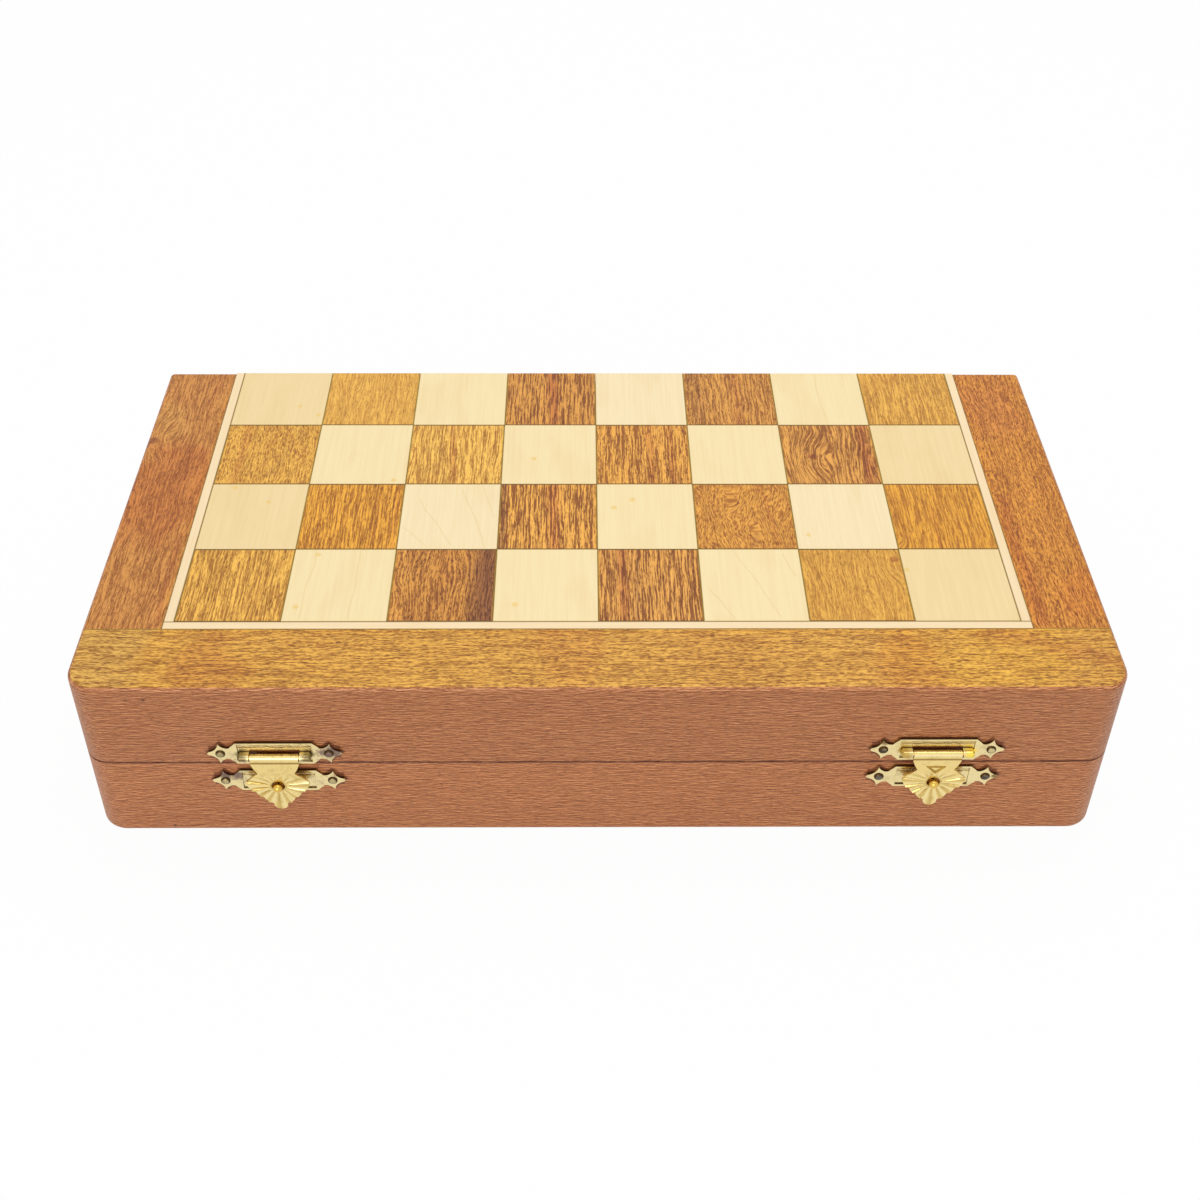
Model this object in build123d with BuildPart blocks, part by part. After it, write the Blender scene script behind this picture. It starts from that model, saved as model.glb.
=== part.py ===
"""Folding chess box: two equal wooden trays hinged along one long edge.

Each tray is a frame of four rails around a plywood ground panel.  Solid dark and
light squares and a light stringing are glued on the panel, so that the two trays
unfold flat into one 8 x 8 board.  A slotted foam bed in each tray holds one side's
chessmen.  Two brass butt hinges join the trays and two stamped brass hasps lock them.

Frame: X along the box, Y from the latches (-Y) to the hinges (+Y), Z up.
The origin is the middle of the wooden body's footprint, on the underside.
All sizes are millimetres.
"""

import math
import os

from build123d import *

# ---------------------------------------------------------------- driving dimensions
# Playing face
square = 31.5            # side of one playing square
files_across = 8         # squares along the box
ranks_deep = 4           # squares from the latch side to the hinge side
kerf_loss = 1.0          # what sawing the board in two takes off the last rank
stringing = 3.0          # width of the light line round the squares
glue_line = 0.1          # gap between neighbouring inlays
inlay_thickness = 4.0    # squares, stringing and the border's flange
border = 23.75           # width of the wooden border

# Trays
tray_height = 31.5       # one tray, from rim to playing face
wall = 10.0              # front and side walls
hinge_rail = 12.0        # width of the rail that carries the hinges
ground_thickness = 4.0   # plywood under the squares
corner_radius = 8.5      # upright corners at the latch side
arris = 1.5              # rounding of the outer edges of the playing face
back_arris = 0.5         # rounding of the inlays at the sawn edge
rim_arris = 0.4          # easing of the outer edges at the parting plane

# Slotted bed
felt_thickness = 0.8
bed_below_rim = 0.3      # foam below the parting plane
bed_clearance = 0.2
slot_width = 25.0
piece_slot = 66.0        # slots for the tall pieces, at the hinge side
pawn_slot = 42.0         # slots for the pawns, at the latch side

# Butt hinges
hinge_spacing = 190.0    # between the centres of the two hinges
hinge_length = 30.0
hinge_leaf_width = 8.5   # from the hinge axis
hinge_leaf_thickness = 0.9
knuckle_radius = 1.9
hinge_pin_radius = 1.0
hinge_axis_offset = 0.3  # how far the axis lies behind the back faces
running_clearance = 0.05
knuckle_gap = 0.2        # between neighbouring knuckles
mortise_clearance = 0.1  # at a leaf's ends and inner edge
knuckle_relief = 0.3     # groove round the knuckles
screw_spacing = 17.0
screw_set_back = 5.4     # from the hinge axis to the screw holes
screw_hole_radius = 0.9
screw_head_radius = 1.7
pilot_clearance = 0.02   # round every shank that sits in wood or brass

# Hasps
latch_left_x = -95.0     # fixed by hand, so not quite symmetric
latch_right_x = 99.5
latch_left_lift = -0.65  # and not quite level
latch_right_lift = 0.65
plate_half_length = 19.8
plate_half_height = 4.4
plate_thickness = 0.8
plate_body = 11.2        # half length of the plate's full-height body
plate_neck_half = 2.2    # half height of the neck between the body and the end flower
plate_rim = 0.75         # width of the raised edge round a plate
plate_recess = 0.3       # depth of the plate's field below that edge
lid_plate_rise = 5.5     # parting plane up to the centre line of the lid's plate
catch_drop = 6.5         # parting plane down to the centre line of the catch plate
nail_reach = 15.9        # from a plate's centre to its nail holes
nail_hole_radius = 0.6
rod_radius = 0.6
rod_drop = 0.6           # rod below the centre line of the lid's plate
rod_stand_off = 1.75     # rod's axis in front of the wood
rod_length = 19.0
eye_wall = 0.65          # metal round the rod in the plate's two raised eyes
eye_length = 3.4
curl_wall = 0.55         # sheet that the hasp is stamped from
curl_length = 14.2
curl_slit = 0.3          # where the rolled edge stops short of the leaf
curl_side_gap = 0.3
window_height = 3.6
hasp_length = 21.8       # rod to tip
hasp_neck_half = 6.4
hasp_waist_half = 5.4
hasp_shoulder_half = 9.4
hasp_tip_half = 2.0
scallops = 3             # on each sloping edge
hasp_hole_radius = 2.05
rib_count = 9
rib_half_width = 0.5
rib_height = 0.28
rib_fan = 200.0          # degrees covered by the ribs
stud_ball_radius = 1.4
stud_neck_radius = 0.9
stud_flange_radius = 1.7
stud_flange_height = 0.5
stud_reach = 5.0         # wood to the ball's end
stud_shank_radius = 0.6
stud_shank_length = 6.0

# ---------------------------------------------------------------- derived sizes
field_length = files_across * square
field_depth = ranks_deep * square - kerf_loss
box_length = field_length + 2 * (stringing + border)
box_depth = border + stringing + field_depth
front_y = -box_depth / 2
back_y = box_depth / 2
parting_z = tray_height
top_z = 2 * tray_height
inlay_z = top_z - inlay_thickness
ground_z = inlay_z - ground_thickness
felt_z = ground_z - felt_thickness
bed_thickness = felt_z - parting_z - bed_below_rim
field_front_y = front_y + border + stringing
inner_half_length = box_length / 2 - wall
inner_front_y = front_y + wall
inner_back_y = back_y - hinge_rail
cavity_length = 2 * inner_half_length
cavity_depth = inner_back_y - inner_front_y
cavity_middle_y = (inner_front_y + inner_back_y) / 2
hinge_y = back_y + hinge_axis_offset
pin_bore_radius = hinge_pin_radius + running_clearance
screw_xs = [side * screw_spacing / 2 for side in (-1, 1)]
hinge_xs = {"left": -hinge_spacing / 2, "right": hinge_spacing / 2}
latches = {"left": (latch_left_x, latch_left_lift), "right": (latch_right_x, latch_right_lift)}
rod_to_catch = lid_plate_rise - rod_drop + catch_drop
parting_plane = Plane.XY.offset(parting_z)

os.makedirs("parts", exist_ok=True)


def save(part, name):
    """Labels a finished piece with its node's name and writes it."""
    part.label = name
    export_step(part, f"parts/{name}.step")


def front_plane(x, z):
    """A plane on the front face at (x, z): its Y is the box's Z and its normal points out of the box."""
    return Plane(origin=(x, front_y, z), x_dir=(1, 0, 0), z_dir=(0, -1, 0))


# ---------------------------------------------------------------- wooden tray, as the lid
def make_front_rail(with_stud_holes):
    """Full-width rail with the rounded corners, rebated behind for the ground panel and the bed."""
    with BuildPart() as rail:
        with BuildSketch(parting_plane):
            with Locations((0, front_y + border / 2)):
                Rectangle(box_length, border)
        extrude(amount=tray_height)
        corners = rail.edges().filter_by(Axis.Z).group_by(Axis.Y)[0]
        fillet(corners, corner_radius)
        outer = rail.faces().sort_by(Axis.Z)[-1].edges()
        fillet(outer.sort_by(Axis.Y)[:-1], arris)
        rim = rail.faces().sort_by(Axis.Z)[0].edges()
        chamfer(rim.sort_by(Axis.Y)[:-1], rim_arris)
        with BuildSketch(parting_plane):
            with Locations((0, inner_front_y)):
                Rectangle(cavity_length, border, align=(Align.CENTER, Align.MIN))
        extrude(amount=tray_height - inlay_thickness, mode=Mode.SUBTRACT)
        if with_stud_holes:
            for x, lift in latches.values():
                # the base's rail is built as a lid's and mirrored, so the holes lie above the parting plane here
                with BuildSketch(front_plane(x, parting_z + catch_drop - lift)):
                    Circle(stud_shank_radius + pilot_clearance)
                extrude(amount=-stud_shank_length, mode=Mode.SUBTRACT)
    return rail.part


def make_side_rail(side):
    """L-section side rail, butted against the front rail; side is -1 for left and 1 for right."""
    outer_x = side * box_length / 2
    with BuildPart() as rail:
        with BuildSketch(Plane.XZ.offset(-back_y)):
            with BuildLine():
                Polyline(
                    (outer_x, parting_z),
                    (side * inner_half_length, parting_z),
                    (side * inner_half_length, inlay_z),
                    (outer_x - side * border, inlay_z),
                    (outer_x - side * border, top_z),
                    (outer_x, top_z),
                    close=True,
                )
            make_face()
        extrude(amount=box_depth - border)
        outside = rail.edges().filter_by(Axis.Y).group_by(Axis.X)[-1 if side > 0 else 0]
        fillet(outside.sort_by(Axis.Z)[-1], arris)
        chamfer(outside.sort_by(Axis.Z)[0], rim_arris)
        upright = rail.edges().filter_by(Axis.Z).group_by(Axis.Y)[-1]
        fillet(upright.sort_by(Axis.X)[-1 if side > 0 else 0], arris)
    return rail.part


def make_back_rail():
    """Rail under the last rank of squares, with the seats of both hinges."""
    with BuildPart() as rail:
        with BuildSketch(parting_plane):
            with Locations((0, back_y - hinge_rail / 2)):
                Rectangle(cavity_length, hinge_rail)
        extrude(amount=tray_height - inlay_thickness)
        chamfer(rail.edges().group_by(Axis.Z)[0].sort_by(Axis.Y)[-1], rim_arris)
        for x in hinge_xs.values():
            mortise_y = hinge_y - hinge_leaf_width - mortise_clearance
            with BuildSketch(parting_plane):
                with Locations((x, (mortise_y + back_y) / 2)):
                    Rectangle(hinge_length + 2 * mortise_clearance, back_y - mortise_y)
            extrude(amount=knuckle_radius, mode=Mode.SUBTRACT)
            with BuildSketch(Plane.YZ.offset(x - hinge_length / 2 - 2 * knuckle_relief)):
                with Locations((hinge_y, parting_z)):
                    Circle(knuckle_radius + knuckle_relief)
            extrude(amount=hinge_length + 4 * knuckle_relief, mode=Mode.SUBTRACT)
    return rail.part


def make_ground_panel():
    """Plywood panel that closes the tray and carries the squares."""
    with BuildPart() as panel:
        with BuildSketch(Plane.XY.offset(ground_z)):
            with Locations((0, cavity_middle_y)):
                Rectangle(cavity_length, cavity_depth)
        extrude(amount=ground_thickness)
    return panel.part


def ease_sawn_edge(inlay):
    """Rounds the top edges of the inlays that end at the sawn back edge."""
    sawn = inlay.edges().filter_by(Axis.X).group_by(Axis.Y)[-1]
    fillet(sawn.group_by(Axis.Z)[-1], back_arris)


def make_squares(parity):
    """Every second square, as separate solids; parity 0 takes the front left corner square."""
    with BuildPart() as squares:
        for rank in range(ranks_deep):
            near_y = field_front_y + rank * square
            depth = min(square, back_y - near_y)
            gap_behind = glue_line / 2 if rank < ranks_deep - 1 else 0
            for file in range(files_across):
                if (file + rank) % 2 == parity:
                    with BuildSketch(Plane.XY.offset(inlay_z)):
                        with Locations(((file + 0.5) * square - field_length / 2, near_y + glue_line / 2)):
                            Rectangle(
                                square - glue_line,
                                depth - glue_line / 2 - gap_behind,
                                align=(Align.CENTER, Align.MIN),
                            )
                    extrude(amount=inlay_thickness)
        ease_sawn_edge(squares)
    return squares.part


def make_front_stringing():
    """Light line along the latch side, running right across the ends of the side lines."""
    with BuildPart() as line:
        with BuildSketch(Plane.XY.offset(inlay_z)):
            with Locations((0, front_y + border + stringing / 2)):
                Rectangle(field_length + 2 * stringing - glue_line, stringing - glue_line)
        extrude(amount=inlay_thickness)
    return line.part


def make_side_stringing(side):
    """Light line from the front line to the sawn edge."""
    with BuildPart() as line:
        with BuildSketch(Plane.XY.offset(inlay_z)):
            with Locations((side * (field_length + stringing) / 2, field_front_y + glue_line / 2)):
                Rectangle(
                    stringing - glue_line,
                    back_y - field_front_y - glue_line / 2,
                    align=(Align.CENTER, Align.MIN),
                )
        extrude(amount=inlay_thickness)
        ease_sawn_edge(line)
    return line.part


def make_felt():
    """Felt sheet glued to the inside of the ground panel, the floor of the slots."""
    with BuildPart() as felt:
        with BuildSketch(Plane.XY.offset(ground_z)):
            with Locations((0, cavity_middle_y)):
                Rectangle(cavity_length - 2 * bed_clearance, cavity_depth - 2 * bed_clearance)
        extrude(amount=-felt_thickness)
    return felt.part


def make_bed():
    """Foam bed with one through slot for each chessman: pawns in front, tall pieces behind."""
    bed_length = cavity_length - 2 * bed_clearance
    bed_depth = cavity_depth - 2 * bed_clearance
    pitch = bed_length / files_across
    margin = (bed_depth - piece_slot - pawn_slot) / 3
    bed_front_y = cavity_middle_y - bed_depth / 2
    rows = [
        (bed_front_y + margin + pawn_slot / 2, pawn_slot),
        (bed_front_y + 2 * margin + pawn_slot + piece_slot / 2, piece_slot),
    ]
    with BuildPart() as bed:
        with BuildSketch(Plane.XY.offset(felt_z)):
            with Locations((0, cavity_middle_y)):
                Rectangle(bed_length, bed_depth)
            for row_y, slot_length in rows:
                with Locations((0, row_y)):
                    with GridLocations(pitch, 1, files_across, 1):
                        Rectangle(slot_width, slot_length, mode=Mode.SUBTRACT)
        extrude(amount=-bed_thickness)
    return bed.part


# ---------------------------------------------------------------- butt hinges
def knuckle_spans(outer):
    """Start and length along the hinge of the two outer knuckles, or of the middle one."""
    third = hinge_length / 3
    if outer:
        return [(0, third - knuckle_gap / 2), (2 * third + knuckle_gap / 2, third - knuckle_gap / 2)]
    return [(third + knuckle_gap / 2, third - knuckle_gap)]


def make_hinge_leaf(x, outer):
    """The leaf of the upper tray, with the outer knuckles or the middle one."""
    leaf_z = parting_z + knuckle_radius - hinge_leaf_thickness
    clear = knuckle_radius + knuckle_relief
    with BuildPart() as leaf:
        with BuildSketch(Plane.XY.offset(leaf_z)):
            with Locations((x, hinge_y - clear)):
                Rectangle(hinge_length, hinge_leaf_width - clear, align=(Align.CENTER, Align.MAX))
        extrude(amount=hinge_leaf_thickness)
        inner_corners = leaf.edges().filter_by(Axis.Z).group_by(Axis.Y)[0]
        chamfer(inner_corners, 5 * mortise_clearance)
        for start, length in knuckle_spans(outer):
            with BuildSketch(Plane.YZ.offset(x - hinge_length / 2 + start)):
                with Locations((hinge_y, parting_z)):
                    Circle(knuckle_radius)
                with Locations((hinge_y, parting_z + knuckle_radius)):
                    Rectangle(clear, hinge_leaf_thickness, align=(Align.MAX, Align.MAX))
                with Locations((hinge_y, parting_z)):
                    Circle(pin_bore_radius, mode=Mode.SUBTRACT)
            extrude(amount=length)
        with Locations(Plane((x, hinge_y - screw_set_back, leaf_z), z_dir=(0, 0, -1))):
            with Locations(*[(dx, 0) for dx in screw_xs]):
                CounterSinkHole(
                    screw_hole_radius,
                    screw_head_radius,
                    depth=hinge_leaf_thickness,
                    counter_sink_angle=90,
                )
    return leaf.part


def make_hinge_pin(x):
    """Pin held in the base leaf's knuckles."""
    with BuildPart() as pin:
        with BuildSketch(Plane.YZ.offset(x - hinge_length / 2 - knuckle_relief)):
            with Locations((hinge_y, parting_z)):
                Circle(hinge_pin_radius)
        extrude(amount=hinge_length + 2 * knuckle_relief)
    return pin.part


# ---------------------------------------------------------------- hasps
def plate_outline(plane):
    """Stamped outline: a plain body whose two ends narrow to a neck and open into a four-pointed flower."""
    shoulder = plate_body + 1.6
    neck = nail_reach - 1.7
    petal = nail_reach + 0.4
    with BuildSketch(plane) as outline:
        with BuildLine():
            Polyline(
                (0, plate_half_height),
                (plate_body, plate_half_height),
                (shoulder, plate_half_height - 1.6),
                (shoulder + 0.5, plate_neck_half),
                (neck, plate_neck_half),
            )
            ThreePointArc((neck, plate_neck_half), (petal - 0.8, 3.0), (petal, plate_half_height - 0.3))
            ThreePointArc((petal, plate_half_height - 0.3), (petal + 1.0, 1.75), (plate_half_length - 0.5, 0.65))
            Line((plate_half_length - 0.5, 0.65), (plate_half_length, 0))
            mirror(about=Plane.XZ)
            mirror(about=Plane.YZ)
        make_face()
    return outline.sketch


def make_plate(x, z, hole_radius):
    """Stamped plate with a raised edge, its nail holes and, if hole_radius isn't 0, a hole for the stud."""
    plane = front_plane(x, z)
    with BuildPart() as plate:
        extrude(plate_outline(plane), amount=plate_thickness)
        with BuildSketch(plane.offset(plate_thickness)):
            Rectangle(2 * (plate_body - plate_rim / 2), 2 * (plate_half_height - plate_rim))
        extrude(amount=-plate_recess, taper=30, mode=Mode.SUBTRACT)
        with BuildSketch(plane):
            with Locations((-nail_reach, 0), (nail_reach, 0)):
                Circle(nail_hole_radius)
            if hole_radius:
                Circle(hole_radius)
        extrude(amount=plate_thickness, mode=Mode.SUBTRACT)
    return plate.part


def make_lid_plate(x, z):
    """The lid's plate: a window for the hasp's curl between two raised eyes that hold the rod."""
    window = curl_length / 2 + curl_side_gap
    eye_radius = rod_radius + eye_wall
    rod_y = front_y - rod_stand_off
    rod_z = z - rod_drop
    blank = make_plate(x, z, 0)
    with BuildPart() as plate:
        add(blank)
        for side in (-1, 1):
            start = x + side * window
            eye_plane = Plane(origin=(start, rod_y, rod_z), x_dir=(0, 1, 0), z_dir=(side, 0, 0))
            with BuildSketch(eye_plane):
                Circle(eye_radius)
                Rectangle(rod_stand_off, 2 * eye_radius, align=(Align.MIN, Align.CENTER))
            extrude(amount=eye_length - eye_wall)
            with BuildSketch(eye_plane.offset(eye_length - eye_wall)):
                Circle(eye_radius)
                Rectangle(rod_stand_off, 2 * eye_radius, align=(Align.MIN, Align.CENTER))
            extrude(amount=eye_wall, taper=40)
        with BuildSketch(front_plane(x, rod_z)):
            Rectangle(2 * window, window_height)
        extrude(amount=2 * rod_stand_off, mode=Mode.SUBTRACT)
        with Locations(Plane(origin=(x, rod_y, rod_z), x_dir=(0, 1, 0), z_dir=(1, 0, 0))):
            Cylinder(rod_radius + pilot_clearance, rod_length, mode=Mode.SUBTRACT)
    return plate.part


def make_rod(x, rod_z):
    """Straight rod that the hasp's curl turns on."""
    with BuildPart() as rod:
        with BuildSketch(Plane.YZ.offset(x - rod_length / 2)):
            with Locations((front_y - rod_stand_off, rod_z)):
                Circle(rod_radius)
        extrude(amount=rod_length)
    return rod.part


def hasp_outline(plane):
    """Fan-shaped leaf below the rod: neck, waist, shoulders, scalloped edges and a round tip."""
    waist = (hasp_waist_half, -0.27 * hasp_length)
    shoulder = (hasp_shoulder_half - 0.3, -0.43 * hasp_length)
    slope_start = (hasp_shoulder_half - 0.5, -0.54 * hasp_length)
    slope_end = (hasp_tip_half + 0.5, -0.87 * hasp_length)
    run = Vector(*slope_end) - Vector(*slope_start)
    bulge = Vector(-run.Y, run.X).normalized() * 0.4
    with BuildSketch(plane) as outline:
        with BuildLine():
            Polyline(
                (0, 0),
                (curl_length / 2, 0),
                (curl_length / 2, -0.09 * hasp_length),
                (hasp_neck_half, -0.18 * hasp_length),
                waist,
                shoulder,
            )
            ThreePointArc(shoulder, (hasp_shoulder_half, -0.485 * hasp_length), slope_start)
            for step in range(scallops):
                start = Vector(*slope_start) + run * (step / scallops)
                end = Vector(*slope_start) + run * ((step + 1) / scallops)
                ThreePointArc(start, (start + end) / 2 + bulge, end)
            Line(slope_end, (hasp_tip_half, slope_end[1] - 0.4))
            ThreePointArc(
                (hasp_tip_half, slope_end[1] - 0.4),
                (hasp_tip_half * 0.72, -hasp_length + 0.6),
                (0, -hasp_length),
            )
            mirror(about=Plane.YZ)
        make_face()
    return outline.sketch


def make_hasp(x, rod_z):
    """Hasp leaf that comes off its rolled curl at a tangent, with a stud hole and a fan of raised ribs."""
    rod_y = front_y - rod_stand_off
    bore = rod_radius + running_clearance
    back_plane = front_plane(x, rod_z).offset(rod_stand_off + bore)
    outline = hasp_outline(back_plane)
    with BuildPart() as ribs:
        for index in range(rib_count):
            angle = math.radians(rib_fan * (index / (rib_count - 1) - 0.5) - 90)
            rib_plane = Plane(
                origin=(x, rod_y - bore - curl_wall, rod_z - rod_to_catch),
                x_dir=(math.cos(angle), 0, math.sin(angle)),
                z_dir=(0, -1, 0),
            )
            with BuildSketch(rib_plane):
                with BuildLine():
                    Polyline(
                        (hasp_hole_radius + 0.4, 0),
                        (0.36 * hasp_length, rib_half_width),
                        (hasp_length / 2, 0),
                        (0.36 * hasp_length, -rib_half_width),
                        close=True,
                    )
                make_face()
            extrude(amount=rib_height, taper=45)
        extrude(outline, amount=curl_wall + rib_height, mode=Mode.INTERSECT)
    with BuildPart() as hasp:
        extrude(outline, amount=curl_wall)
        add(ribs.part)
        with BuildSketch(Plane.YZ.offset(x - curl_length / 2)):
            with Locations((rod_y, rod_z)):
                Circle(bore + curl_wall)
        extrude(amount=curl_length)
        with BuildSketch(Plane.YZ.offset(x - curl_length / 2)):
            with Locations((rod_y, rod_z)):
                Circle(bore)
            with Locations((rod_y - bore, rod_z - bore / 2)):
                Rectangle(curl_slit, 2 * bore, align=(Align.MIN, Align.MAX))
        extrude(amount=curl_length, mode=Mode.SUBTRACT)
        with BuildSketch(front_plane(x, rod_z - rod_to_catch)):
            Circle(hasp_hole_radius)
        extrude(amount=2 * stud_reach, mode=Mode.SUBTRACT)
    return hasp.part


def make_stud(x, z):
    """Turned stud with a ball head, riveted through the catch plate into the front wall."""
    ball_centre = stud_reach - stud_ball_radius
    neck_end = ball_centre - math.sqrt(stud_ball_radius**2 - stud_neck_radius**2)
    flange_start = plate_thickness - plate_recess
    with BuildPart() as stud:
        with BuildSketch(Plane(origin=(x, front_y, z), x_dir=(1, 0, 0), z_dir=(0, 0, 1))):
            with BuildLine():
                Polyline(
                    (0, -stud_reach),
                    (0, stud_shank_length),
                    (stud_shank_radius, stud_shank_length),
                    (stud_shank_radius, -flange_start),
                    (stud_flange_radius, -flange_start),
                    (stud_neck_radius, -flange_start - stud_flange_height),
                    (stud_neck_radius, -neck_end),
                )
                ThreePointArc(
                    (stud_neck_radius, -neck_end),
                    (stud_ball_radius, -ball_centre),
                    (0, -stud_reach),
                )
            make_face()
        revolve(axis=Axis((x, front_y, z), (0, 1, 0)))
    return stud.part


# ---------------------------------------------------------------- build and write
def lower(part):
    """The base's copy of a piece made for the lid: its mirror image in the parting plane."""
    return mirror(part, about=parting_plane)


shared_pieces = {
    "left_rail": make_side_rail(-1),
    "right_rail": make_side_rail(1),
    "back_rail": make_back_rail(),
    "ground_panel": make_ground_panel(),
    "front_stringing": make_front_stringing(),
    "left_stringing": make_side_stringing(-1),
    "right_stringing": make_side_stringing(1),
    "felt": make_felt(),
    "slotted_bed": make_bed(),
}
for name, piece in shared_pieces.items():
    save(piece, f"lid_{name}")
    save(lower(piece), f"base_{name}")

save(make_front_rail(with_stud_holes=False), "lid_front_rail")
save(lower(make_front_rail(with_stud_holes=True)), "base_front_rail")

# The two trays' patterns are each other's negatives, so that the unfolded board alternates.
save(make_squares(0), "lid_dark_squares")
save(make_squares(1), "lid_light_squares")
save(lower(make_squares(1)), "base_dark_squares")
save(lower(make_squares(0)), "base_light_squares")

for side, x in hinge_xs.items():
    save(make_hinge_leaf(x, outer=False), f"{side}_hinge_lid_leaf")
    save(lower(make_hinge_leaf(x, outer=True)), f"{side}_hinge_base_leaf")
    save(make_hinge_pin(x), f"{side}_hinge_pin")

for side, (x, lift) in latches.items():
    plate_z = parting_z + lid_plate_rise + lift
    catch_z = parting_z - catch_drop + lift
    save(make_lid_plate(x, plate_z), f"{side}_latch_lid_plate")
    save(make_rod(x, plate_z - rod_drop), f"{side}_latch_rod")
    save(make_hasp(x, plate_z - rod_drop), f"{side}_latch_hasp")
    save(make_plate(x, catch_z, stud_shank_radius + pilot_clearance), f"{side}_latch_catch_plate")
    save(make_stud(x, catch_z), f"{side}_latch_stud")
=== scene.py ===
"""Looks of the folding chess box: timber, inlay, velvet beds and stamped brass."""
import math

import bmesh
import bpy
from mathutils import Matrix, Vector


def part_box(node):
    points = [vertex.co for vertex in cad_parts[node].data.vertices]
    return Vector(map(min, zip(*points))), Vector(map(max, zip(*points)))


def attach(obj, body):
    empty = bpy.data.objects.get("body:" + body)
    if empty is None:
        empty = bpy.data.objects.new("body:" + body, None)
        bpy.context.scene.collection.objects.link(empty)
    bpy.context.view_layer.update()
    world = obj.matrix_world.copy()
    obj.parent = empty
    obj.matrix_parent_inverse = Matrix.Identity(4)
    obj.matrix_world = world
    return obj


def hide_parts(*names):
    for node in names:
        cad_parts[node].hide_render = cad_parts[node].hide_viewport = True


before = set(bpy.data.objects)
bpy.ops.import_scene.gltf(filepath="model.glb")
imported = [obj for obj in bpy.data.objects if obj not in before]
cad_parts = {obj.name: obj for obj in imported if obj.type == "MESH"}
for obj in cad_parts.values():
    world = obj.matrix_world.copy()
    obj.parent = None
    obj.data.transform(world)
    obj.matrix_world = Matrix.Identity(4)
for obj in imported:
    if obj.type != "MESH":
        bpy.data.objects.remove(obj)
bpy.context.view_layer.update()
MM = 0.001

# ---------------------------------------- sizes shared with the CAD model (mm)
SQUARE = 31.5
FILES, RANKS = 8, 4
STRINGING = 3.0
PLATE = 0.8
LEAF = 0.9
LEAF_SCREW_SPACING = 17.0
LEAF_FROM_PARTING = 1.0
NAIL_SPACING = 31.8


def box_mm(node):
    """Both corners of a CAD node's box, in mm."""
    low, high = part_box(node)
    return low / MM, high / MM


RAIL_LOW = box_mm("lid_front_rail")[0]
FRONT_Y, PARTING_Z = RAIL_LOW.y, RAIL_LOW.z
HALVES = ("lid", "base")
FIELD_X = -FILES * SQUARE / 2
FIELD_Y = box_mm("lid_front_stringing")[1].y
INNER_X = -FIELD_X + STRINGING
INNER_Y = FIELD_Y - STRINGING


def latch_places(side):
    """x of the latch, then z of its lid plate, of its catch plate and stud, and of its rod."""
    def middle(node):
        low, high = box_mm(f"{side}_latch_{node}")
        return (low + high) / 2
    return middle("lid_plate").x, middle("lid_plate").z, middle("catch_plate").z, middle("rod").z


# ---------------------------------------- camera
# The photo's view: mm in the frame, and degrees down from level, to the right of +Y, and of roll.
CAMERA_PLACE = (-5.83, -382.6, 399.2)
CAMERA_PITCH, CAMERA_YAW, CAMERA_ROLL = 36.825, 0.674, -0.434
SENSOR_WIDTH, FOCAL_LENGTH = 36, 47.234
LENS_SHIFT = (0.0051, -0.1762)


def linked(name, data):
    """A new object with this data, linked to the scene."""
    thing = bpy.data.objects.new(name, data)
    bpy.context.scene.collection.objects.link(thing)
    return thing


def camera():
    """A shifted lens stands where the photographer stood, so that the render overlays the photo."""
    pitch, yaw, roll = (math.radians(angle) for angle in (CAMERA_PITCH, CAMERA_YAW, CAMERA_ROLL))
    forward = Vector((math.sin(yaw) * math.cos(pitch), math.cos(yaw) * math.cos(pitch), -math.sin(pitch)))
    level_right = Vector((math.cos(yaw), -math.sin(yaw), 0))
    level_down = forward.cross(level_right)
    right = level_right * math.cos(roll) + level_down * math.sin(roll)
    down = -level_right * math.sin(roll) + level_down * math.cos(roll)
    data = bpy.data.cameras.new("camera")
    data.sensor_width, data.lens = SENSOR_WIDTH, FOCAL_LENGTH
    data.shift_x, data.shift_y = LENS_SHIFT
    data.clip_start = 0.01
    cam = linked("camera", data)
    place = Matrix((right, -down, -forward)).transposed().to_4x4()
    place.translation = Vector(CAMERA_PLACE) * MM
    cam.matrix_world = place
    bpy.context.scene.camera = cam


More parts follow.
